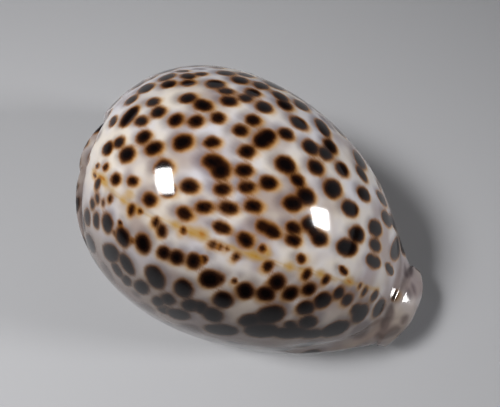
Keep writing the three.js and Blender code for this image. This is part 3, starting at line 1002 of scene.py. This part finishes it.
@dataclass
class Markings:
    """Everything that is only colour on the shell, stored as distances in millimetres."""

    view: Viewpoint
    seed: int = 11
    hidden_tries: int = 9000
    smallest: float = 0.9
    longest: float = 6.2
    merge: float = 0.32
    far: float = -6.0
    halo_shift: float = 1.1
    haze_shift: float = 1.8
    upper_lean: tuple[float, float] = (0.95, -0.3)
    lower_lean: tuple[float, float] = (-0.75, -0.65)
    edge_facing: float = 0.1
    edge_nudge: float = 0.01
    edge_tries: int = 12
    hidden_facing: float = 0.16
    hidden_lowest: float = -0.75
    usual_size: tuple[float, float] = (2.3, 3.4)
    large_size: tuple[float, float] = (3.4, 4.5)
    small_size: tuple[float, float] = (1.0, 1.9)
    usual_share: float = 0.62
    large_share: float = 0.82
    dark_share: float = 0.9
    hidden_gap: tuple[float, float] = (0.5, 1.7)
    hidden_ratio: tuple[float, float] = (1.0, 1.35)
    reach_share: float = 2.2
    reach_extra: float = 9.0
    same_side: float = 0.05
    base_start: float = 0.45
    base_run: float = 0.35
    lip_run: float = 0.2
    placed: list[PlacedSpot] = field(default_factory=list)

    def cast(self, tree: BVHTree, across: float,
             down: float) -> tuple[np.ndarray, np.ndarray] | None:
        """Finds the shell's point and normal behind a pixel, or None where it misses."""
        way = self.view.ray(across, down)
        hit, normal, _, _ = tree.ray_cast(Vector(self.view.eye() * MM), Vector(way), 1.0)
        if hit is None:
            return None
        return np.array(hit) / MM, np.array(normal)

    def place_seen(self, tree: BVHTree, spot: Spot) -> None:
        """Lays a spot of the photograph on the shell.

        Args:
            tree: The shell's surface.
            spot: The spot as the photograph shows it.
        """
        middle = np.array([self.view.width / 2, self.view.height / 2])
        at = np.array([spot.across, spot.down])
        found = self.cast(tree, *at)
        for _ in range(self.edge_tries):
            if found is not None and found[1] @ self.view.axes()[2] > self.edge_facing:
                break
            at = at + (middle - at) * self.edge_nudge
            found = self.cast(tree, *at)
        if found is None:
            LOG.warning("spot at %s, %s misses the shell", spot.across, spot.down)
            return
        point, normal = found
        first, second = self.tangents(normal)
        base = self.view.project(point[None])[0]
        step = 0.1
        slope = np.stack([
            (self.view.project((point + first * step)[None])[0] - base) / step,
            (self.view.project((point + second * step)[None])[0] - base) / step,
        ], axis=1)
        turn = math.radians(spot.turn)
        along = np.array([math.cos(turn), math.sin(turn)])
        aside = np.array([-math.sin(turn), math.cos(turn)])
        seen = np.outer(along, along) / spot.half_length**2
        seen = seen + np.outer(aside, aside) / spot.half_width**2
        outline = slope.T @ seen @ slope
        values, vectors = np.linalg.eigh(outline)
        sizes = np.clip(1 / np.sqrt(values), self.smallest / 2, self.longest)
        outline = vectors @ np.diag(1 / sizes**2) @ vectors.T
        size = float(np.sqrt(sizes[0] * sizes[1]))
        self.placed.append(PlacedSpot(point, normal, first, second, outline, size, spot.ink))

    @staticmethod
    def tangents(normal: np.ndarray) -> tuple[np.ndarray, np.ndarray]:
        """Returns two directions that lie in the surface with this normal."""
        lead = np.array([1.0, 0.0, 0.0]) if abs(normal[0]) < 0.9 else np.array([0.0, 1.0, 0.0])
        first = np.cross(normal, lead)
        first /= np.linalg.norm(first)
        return first, np.cross(normal, first)

    def place_hidden(self, points: np.ndarray, normals: np.ndarray, skin: np.ndarray) -> None:
        """Scatters spots over the skin that the photograph doesn't show.

        Args:
            points: The vertices.
            normals: Their normals.
            skin: Which of them may carry a spot's middle.
        """
        rng = np.random.default_rng(self.seed)
        away = self.view.eye() - points
        away /= np.linalg.norm(away, axis=1)[:, None]
        facing = (normals * away).sum(axis=1)
        away_side = (facing < self.hidden_facing) & (normals[:, 2] > self.hidden_lowest)
        open_skin = np.flatnonzero(skin & away_side)
        middles = np.array([spot.middle for spot in self.placed])
        sizes = np.array([spot.size for spot in self.placed])
        for pick in rng.choice(open_skin, self.hidden_tries):
            kind = rng.random()
            usual = kind < self.usual_share
            size = rng.uniform(*(self.usual_size if usual else self.large_size))
            if kind > self.large_share:
                size = rng.uniform(*self.small_size)
            gap = np.linalg.norm(middles - points[pick], axis=1) - sizes - size
            if gap.min() < rng.uniform(*self.hidden_gap):
                continue
            first, second = self.tangents(normals[pick])
            turn = rng.uniform(0, math.pi)
            ratio = rng.uniform(*self.hidden_ratio)
            along = np.array([math.cos(turn), math.sin(turn)])
            aside = np.array([-math.sin(turn), math.cos(turn)])
            outline = (np.outer(along, along) / ratio + np.outer(aside, aside) * ratio) / size**2
            ink = Ink.DARK if kind < self.dark_share else Ink.BROWN
            self.placed.append(PlacedSpot(points[pick], normals[pick], first, second, outline,
                                          size, ink))
            middles = np.vstack([middles, points[pick]])
            sizes = np.append(sizes, size)

    def nearness(self, points: np.ndarray, normals: np.ndarray, shift: np.ndarray,
                 inks: tuple[Ink, ...]) -> np.ndarray:
        """Measures how deep each point lies in the nearest spots, joined where they meet.

        Args:
            points: The vertices.
            normals: Their normals.
            shift: How far each vertex's view of the spots is moved, one vector on each row.
            inks: The inks that count.

        Returns:
            The depth inside an outline, below zero outside it.
        """
        total = np.full(len(points), math.exp(self.far / self.merge))
        for spot in self.placed:
            if spot.ink not in inks:
                continue
            offset = points - spot.middle - shift
            length = np.linalg.norm(offset, axis=1)
            reach = spot.size * self.reach_share + self.reach_extra
            close = (length < reach) & (normals @ spot.normal > self.same_side)
            offset = offset[close]
            flat = np.stack([offset @ spot.first, offset @ spot.second], axis=1)
            spread = np.linalg.norm(flat, axis=1) + 1e-6
            true = flat * (length[close] / spread)[:, None]
            ring = np.sqrt(np.einsum("ni,ij,nj->n", true, spot.outline, true)) + 1e-6
            depth = (1 - ring) / ring * length[close]
            depth = np.maximum(np.minimum(depth, spot.size), self.far)
            total[close] += np.exp(depth / self.merge)
        return np.log(total) * self.merge

    def line_distance(self, tree: BVHTree, points: np.ndarray) -> tuple[np.ndarray, np.ndarray]:
        """Measures how far each point is from the mantle line, and on which side it lies.

        Args:
            tree: The shell's surface.
            points: The vertices.

        Returns:
            The distances, and 1 on the columella side of the line or -1 on the lip side.
        """
        hits = [self.cast(tree, across, down) for across, down in MANTLE_LINE]
        knots = np.array([hit[0] for hit in hits if hit is not None])
        nearest = np.full(len(points), 1e3)
        for start, end in zip(knots[:-1], knots[1:]):
            way = end - start
            share = np.clip((points - start) @ way / (way @ way), 0, 1)
            gap = np.linalg.norm(points - start - share[:, None] * way, axis=1)
            nearest = np.minimum(nearest, gap)
        level = np.interp(points[:, 0], knots[:, 0], knots[:, 1])
        return nearest, np.where(points[:, 1] > level, 1.0, -1.0)

    def paint(self, shell: bpy.types.Object, hollow: np.ndarray, turn: np.ndarray) -> None:
        """Stores the markings on the shell's vertices.

        Args:
            shell: The finished shell.
            hollow: 1 where a vertex is in the hollow.
            turn: Each vertex's turn round its lip.
        """
        mesh = shell.data
        points = vertex_data(mesh, "co") / MM
        normals = vertex_data(mesh, "normal")
        tree = BVHTree.FromObject(shell, bpy.context.evaluated_depsgraph_get())
        seen = UPPER_EDGE_SPOTS + UPPER_DOME_SPOTS + LINE_SPOTS + LOWER_SPOTS + MARGIN_SPOTS
        for spot in seen + GOLD_SPOTS:
            self.place_seen(tree, spot)
        self.place_hidden(points, normals, (hollow < 0.5) & (np.abs(turn) < 1e-6))
        LOG.info("placed %d spots", len(self.placed))
        line, side = self.line_distance(tree, points)
        right, up, _ = self.view.axes()
        upper, lower = (a * right + b * up for a, b in (self.upper_lean, self.lower_lean))
        lean = np.where(side[:, None] > 0, upper, lower)
        still = np.zeros_like(points)
        named = {"ink": Ink.DARK, "brown": Ink.BROWN, "faint": Ink.FAINT, "gold": Ink.ORANGE}
        for name, ink in named.items():
            set_attribute(mesh, name, self.nearness(points, normals, still, (ink,)))
        inks = (Ink.DARK, Ink.BROWN)
        halo = self.nearness(points, normals, lean * self.halo_shift, inks)
        haze = self.nearness(points, normals, -lean * self.haze_shift, inks)
        set_attribute(mesh, "halo", halo)
        set_attribute(mesh, "haze", haze)
        set_attribute(mesh, "line", line)
        under = smooth((-normals[:, 2] - self.base_start) / self.base_run) * (hollow < 0.5)
        lips = smooth(np.abs(turn) / self.lip_run)
        set_attribute(mesh, "base", np.maximum(under, lips))
        set_attribute(mesh, "hollow", hollow)


@dataclass(frozen=True)
class Edge:
    """A soft edge: the values where a colour begins and where it is full, and its top share."""

    start: float
    full: float
    top: float = 1.0


@dataclass(frozen=True)
class Porcelain:
    """Natural shell enamel: aragonite laid down by the animal's mantle, glossy as glazed china.

    The eye gets a clear wet gloss over soft-edged brown spots that seem to lie under the surface.
    A grain is a noise's name, its size in millimetres and its detail. An edge is in millimetres
    of depth in a marking, or a share of a grain where the colour follows one.
    """

    name: str = "natural_shell_enamel"
    cream: str = "#d6cdc2"
    pearl: str = "#ccc9cd"
    mauve: str = "#86706c"
    # painted shade, partly the real grey-brown of the lower flank: the next three colours darken the
    # ground and the spots' rims towards the low front side and the bottom
    flank_tint_and_shade: str = "#6f625c"
    painted_shade: str = "#4b4340"
    painted_deep_shade: str = "#241c1a"
    lilac: str = "#63555a"
    amber: str = "#bf9346"
    orange: str = "#a1670f"
    rust: str = "#3c1c0a"
    ink: str = "#0b0607"
    gold: str = "#ad883a"
    white: str = "#f0e9e0"
    chamber: str = "#cfc6cf"
    roughness: float = 0.09
    ior: float = 1.5
    coat_weight: float = 0.15
    coat_roughness: float = 0.03
    grains: tuple[tuple[str, float, float], ...] = (
        ("mottle", 14.0, 3.0),
        ("clouding", 11.0, 1.5),
        ("patching", 5.0, 2.0),
        ("waver", 2.6, 2.0),
        ("pitting", 0.35, 2.0),
    )
    waver_depth: float = 0.9
    pit_strength: float = 0.02
    pit_depth: float = 0.2
    # painted shade: how far the darkening leans to the front side, and the heights (side times lean
    # plus height) where it begins and where it is full
    shade_lean: float = 1.0
    shade_edge: Edge = Edge(46.0 * MM, 4.0 * MM, 0.85)
    pearl_edge: Edge = Edge(0.35, 0.65)
    mauve_edge: Edge = Edge(0.44, 0.68, 0.6)
    halo_edge: Edge = Edge(-1.1, 0.7, 0.62)
    haze_edge: Edge = Edge(-2.0, 1.2, 0.62)
    patch_edge: Edge = Edge(0.38, 0.66, 0.5)
    band_edge: Edge = Edge(2.4, -0.2)
    core_edge: Edge = Edge(1.1, -0.3, 0.6)
    gold_edge: Edge = Edge(-1.5, 0.6, 0.7)
    gold_heart: Edge = Edge(0.2, 1.4, 0.8)
    faint_edge: Edge = Edge(-1.2, 1.2, 0.7)
    brown_edges: tuple[Edge, ...] = (
        Edge(-0.7, 0.2, 0.75), Edge(-0.4, 0.7, 0.95), Edge(0.0, 1.9, 0.85),
    )
    ink_edges: tuple[Edge, ...] = (
        Edge(-1.0, 0.2, 0.7), Edge(-0.7, 0.8, 0.95), Edge(-0.3, 1.7, 0.97),
    )

    def lay(self, tree: bpy.types.NodeTree, under: Any, over: Any, value: Any,
            edge: Edge) -> bpy.types.NodeSocket:
        """Lays a colour over another where a value has passed a soft edge.

        Args:
            tree: The material's tree.
            under: The colour below.
            over: The colour on top.
            value: What the edge is measured in.
            edge: Where the colour on top fades in.

        Returns:
            The colour of both together.
        """
        share = add_node(tree, "ShaderNodeMapRange", {"interpolation_type": "SMOOTHSTEP"}, {
            "Value": value, "From Min": edge.start, "From Max": edge.full, "To Max": edge.top,
        })
        mixed = add_node(tree, "ShaderNodeMix", {"data_type": "RGBA"},
                         {0: share.outputs["Result"], 6: under, 7: over})
        return mixed.outputs[2]

    def read_marks(self, tree: bpy.types.NodeTree, waver: Any) -> dict[str, bpy.types.NodeSocket]:
        """Reads the stored depths of the markings and makes their edges waver.

        Args:
            tree: The material's tree.
            waver: The grain that moves the edges.

        Returns:
            The depths by name.
        """
        uneven = add_node(tree, "ShaderNodeMath", {"operation": "MULTIPLY_ADD"},
                          {0: waver, 1: self.waver_depth, 2: -self.waver_depth / 2}).outputs[0]
        marks = {}
        for name in ("ink", "brown", "faint", "gold", "halo", "haze", "line"):
            stored = add_node(tree, "ShaderNodeAttribute", {"attribute_name": name})
            marks[name] = add_node(tree, "ShaderNodeMath", {"operation": "ADD"},
                                   {0: stored.outputs["Fac"], 1: uneven}).outputs[0]
        return marks

    def colour(self, tree: bpy.types.NodeTree, place: Any,
               grain: dict[str, bpy.types.NodeSocket]) -> bpy.types.NodeSocket:
        """Lays all the colours, from the ground to the ink, the base and the chamber.

        Args:
            tree: The material's tree.
            place: The surface's place.
            grain: The grains by name.

        Returns:
            The enamel's colour.
        """
        marks = self.read_marks(tree, grain["waver"])
        parts = add_node(tree, "ShaderNodeSeparateXYZ", None, {0: place}).outputs
        # painted shade: a height that falls towards the low front side; below it the ground and the
        # spots' colours darken, partly the real grey-brown of the lower flank
        height = add_node(tree, "ShaderNodeMath", {"operation": "MULTIPLY_ADD"},
                          {0: parts["Y"], 1: self.shade_lean, 2: parts["Z"]}).outputs[0]
        # painted shade: darker copies of the halo, haze, orange and rust colours for the low front
        # side and the bottom
        painted_shade_copies = [
            self.lay(tree, linear(upper), linear(lower), height, self.shade_edge)
            for upper, lower in ((self.amber, self.painted_shade), (self.lilac, self.painted_shade),
                                 (self.orange, self.painted_shade), (self.rust, self.painted_deep_shade))
        ]
        amber, lilac, orange, rust = painted_shade_copies
        laid = self.lay(tree, linear(self.cream), linear(self.pearl), grain["mottle"],
                        self.pearl_edge)
        laid = self.lay(tree, laid, linear(self.mauve), grain["clouding"], self.mauve_edge)
        # painted shade over the ground on the low front side, partly real grey-brown pigment
        laid = self.lay(tree, laid, linear(self.flank_tint_and_shade), height, self.shade_edge)
        laid = self.lay(tree, laid, amber, marks["halo"], self.halo_edge)
        laid = self.lay(tree, laid, lilac, marks["haze"], self.haze_edge)
        patched = self.lay(tree, laid, linear(self.gold), grain["patching"], self.patch_edge)
        laid = self.lay(tree, laid, patched, marks["line"], self.band_edge)
        laid = self.lay(tree, laid, linear(self.gold), marks["line"], self.core_edge)
        laid = self.lay(tree, laid, linear(self.gold), marks["gold"], self.gold_edge)
        laid = self.lay(tree, laid, linear(self.orange), marks["gold"], self.gold_heart)
        laid = self.lay(tree, laid, lilac, marks["faint"], self.faint_edge)
        for mark, edges in (("brown", self.brown_edges), ("ink", self.ink_edges)):
            for over, edge in zip((orange, rust, linear(self.ink)), edges):
                laid = self.lay(tree, laid, over, marks[mark], edge)
        for name, over in (("base", self.white), ("hollow", self.chamber)):
            share = add_node(tree, "ShaderNodeAttribute", {"attribute_name": name})
            laid = add_node(tree, "ShaderNodeMix", {"data_type": "RGBA"}, {
                0: share.outputs["Fac"], 6: laid, 7: linear(over),
            }).outputs[2]
        return laid

    def make(self) -> bpy.types.Material:
        """Builds the enamel.

        Returns:
            The material.
        """
        material = bpy.data.materials.new(self.name)
        material.use_nodes = True
        tree = material.node_tree
        tree.nodes.clear()
        place = add_node(tree, "ShaderNodeTexCoord").outputs["Object"]
        grain = {
            name: add_node(tree, "ShaderNodeTexNoise", {"noise_dimensions": "3D"}, {
                "Vector": place, "Scale": 1 / (size * MM), "Detail": detail,
            }).outputs["Fac"]
            for name, size, detail in self.grains
        }
        bump = add_node(tree, "ShaderNodeBump", None, {
            "Strength": self.pit_strength,
            "Distance": self.pit_depth * MM,
            "Height": grain["pitting"],
        })
        shader = add_node(tree, "ShaderNodeBsdfPrincipled", None, {
            "Base Color": self.colour(tree, place, grain),
            "Roughness": self.roughness,
            "IOR": self.ior,
            "Coat Weight": self.coat_weight,
            "Coat Roughness": self.coat_roughness,
            "Normal": bump.outputs["Normal"],
        })
        add_node(tree, "ShaderNodeOutputMaterial", None, {"Surface": shader.outputs["BSDF"]})
        return material


@dataclass(frozen=True)
class Lamp:
    """A soft light whose reflection falls on a pixel of the photograph: sizes in metres."""

    name: str
    across: float
    down: float
    width: float
    height: float
    watts: float
    distance: float = 1.2


@dataclass
class Studio:
    """The pale floor, the soft lights and the sky round the shell."""

    view: Viewpoint
    floor_colour: str = "#a2a2a4"
    floor_reach: float = 2.0
    horizon_colour: str = "#a3a6ab"
    zenith_colour: str = "#35363a"
    shade_colour: str = "#1b1b1d"
    sky_strength: float = 0.8
    sky_lift: tuple[float, float] = (0.0, 0.5)
    sky_lit: tuple[float, float] = (-0.5, 0.6)
    floor_roughness: float = 0.7
    lamp_spread: float = 34.0
    aim: tuple[float, float, float] = (-45.0, -80.0, 0.0)
    look: str = "Medium High Contrast"
    lamps: tuple[Lamp, ...] = (
        Lamp("window_left", 165, 180, 0.3, 0.42, 0.8),
        Lamp("window_right", 321, 218, 0.2, 0.22, 0.3),
    )

    def lay_floor(self) -> bpy.types.Object:
        """Lays the matt pale floor under the shell."""
        reach = self.floor_reach
        mesh = bpy.data.meshes.new("pale_floor")
        corners = [(-reach, -reach, 0), (reach, -reach, 0), (reach, reach, 0), (-reach, reach, 0)]
        mesh.from_pydata(corners, [], [(0, 1, 2, 3)])
        floor = bpy.data.objects.new("pale_floor", mesh)
        bpy.context.scene.collection.objects.link(floor)
        material = bpy.data.materials.new("matt_paint")
        material.use_nodes = True
        shader = material.node_tree.nodes["Principled BSDF"]
        shader.inputs["Base Color"].default_value = linear(self.floor_colour)
        shader.inputs["Roughness"].default_value = self.floor_roughness
        mesh.materials.append(material)
        return floor

    def hang_lamp(self, tree: BVHTree, lamp: Lamp) -> None:
        """Hangs a lamp where the shell mirrors it to the camera at its pixel."""
        eye = self.view.eye()
        way = self.view.ray(lamp.across, lamp.down)
        hit, normal, _, _ = tree.ray_cast(Vector(eye * MM), Vector(way), 1.0)
        if hit is None:
            LOG.warning("lamp %s misses the shell", lamp.name)
            return
        mirrored = Vector(way).reflect(normal).normalized()
        data = bpy.data.lights.new(lamp.name, "AREA")
        data.shape = "RECTANGLE"
        data.size = lamp.width
        data.size_y = lamp.height
        data.energy = lamp.watts
        data.spread = math.radians(self.lamp_spread)
        light = bpy.data.objects.new(lamp.name, data)
        bpy.context.scene.collection.objects.link(light)
        level = Vector(self.view.axes()[0])
        level = (level - mirrored * level.dot(mirrored)).normalized()
        turned = Matrix([level, mirrored.cross(level), mirrored]).transposed().to_4x4()
        spot = hit + mirrored * lamp.distance
        aimed = (spot - Vector(self.aim) * MM).normalized()
        swing = mirrored.rotation_difference(aimed).to_matrix().to_4x4()
        light.matrix_world = Matrix.Translation(spot) @ swing @ turned

    def paint_sky(self) -> None:
        """Surrounds the shell with a room: dim overhead, pale behind and dark in front."""
        world = bpy.data.worlds.new("pale_room")
        world.use_nodes = True
        tree = world.node_tree
        way = add_node(tree, "ShaderNodeTexCoord").outputs["Generated"]
        parts = add_node(tree, "ShaderNodeSeparateXYZ", None, {0: way}).outputs
        lift, lit = (
            add_node(tree, "ShaderNodeMapRange", {"interpolation_type": "SMOOTHSTEP"},
                     {"Value": parts[axis], "From Min": low, "From Max": high})
            for axis, (low, high) in (("Z", self.sky_lift), ("Y", self.sky_lit))
        )
        rim = add_node(tree, "ShaderNodeMix", {"data_type": "RGBA"}, {
            0: lit.outputs["Result"],
            6: linear(self.shade_colour),
            7: linear(self.horizon_colour),
        })
        colour = add_node(tree, "ShaderNodeMix", {"data_type": "RGBA"}, {
            0: lift.outputs["Result"],
            6: rim.outputs[2],
            7: linear(self.zenith_colour),
        })
        sky = tree.nodes["Background"]
        sky.inputs["Strength"].default_value = self.sky_strength
        tree.links.new(colour.outputs[2], sky.inputs["Color"])
        bpy.context.scene.world = world

    def build(self, shell: bpy.types.Object) -> None:
        """Sets the whole studio up round the shell."""
        self.lay_floor()
        self.paint_sky()
        tree = BVHTree.FromObject(shell, bpy.context.evaluated_depsgraph_get())
        for lamp in self.lamps:
            self.hang_lamp(tree, lamp)
        bpy.context.scene.view_settings.view_transform = "Standard"
        bpy.context.scene.view_settings.look = self.look


def main() -> None:
    """Builds the shell, its teeth, its markings and the studio, in that order."""
    logging.basicConfig(level=logging.INFO, format="%(name)s: %(message)s")
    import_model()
    view = Viewpoint()
    view.make_camera()
    form = ShellForm()
    shell, place, hollow, turn = ShellBody(form).build()
    LOG.info("built %s with %d vertices", shell.name, len(shell.data.vertices))
    finish = Porcelain().make()
    teeth = Teeth(form)
    teeth.mark(shell.data, place, turn)
    teeth.raise_on(shell, finish)
    LOG.info("raised %d and %d teeth", teeth.lip_count, teeth.columella_count)
    Markings(view).paint(shell, hollow, turn)
    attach(shell, "root")
    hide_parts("shell")
    Studio(view).build(shell)


if __name__ == "__main__":
    main()
